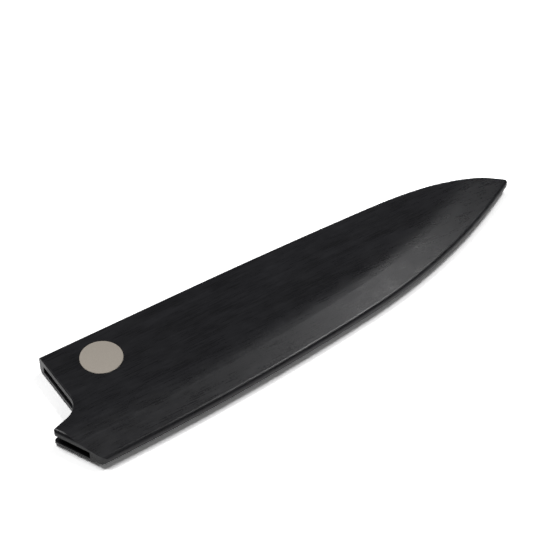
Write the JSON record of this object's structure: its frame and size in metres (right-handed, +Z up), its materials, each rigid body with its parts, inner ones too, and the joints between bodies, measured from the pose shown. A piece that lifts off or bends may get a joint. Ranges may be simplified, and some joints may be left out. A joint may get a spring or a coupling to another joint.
{
  "type": "knife blade guard",
  "caption": "Slim wooden sheath that covers a chef's knife blade, with a bevel along the cutting edge, a notch for the knife's neck, a round metal inlay and hidden magnets.",
  "frame": {"origin": "on the surface that the guard lies on, under the middle of its outline's box", "axes": "+X from the mouth to the tip, +Y from the cutting edge's side to the spine, +Z up through the thickness"},
  "size_m": [0.228, 0.0558, 0.0088],
  "materials": {
    "stained_wood": "black-stained close-grained wood, sanded and oiled to a satin sheen",
    "medallion_steel": "finely blasted stainless steel with a bright thin rim",
    "magnet_nickel": "nickel-plated sintered magnet"
  },
  "bodies": {
    "root": {"upper_scale": "stained_wood", "lower_scale": "stained_wood", "spine_strip": "stained_wood", "edge_strip": "stained_wood", "medallion": "medallion_steel", "upper_magnet_1": "magnet_nickel", "lower_magnet_1": "magnet_nickel", "upper_magnet_2": "magnet_nickel", "lower_magnet_2": "magnet_nickel", "upper_magnet_3": "magnet_nickel", "lower_magnet_3": "magnet_nickel"}
  },
  "joints": []
}
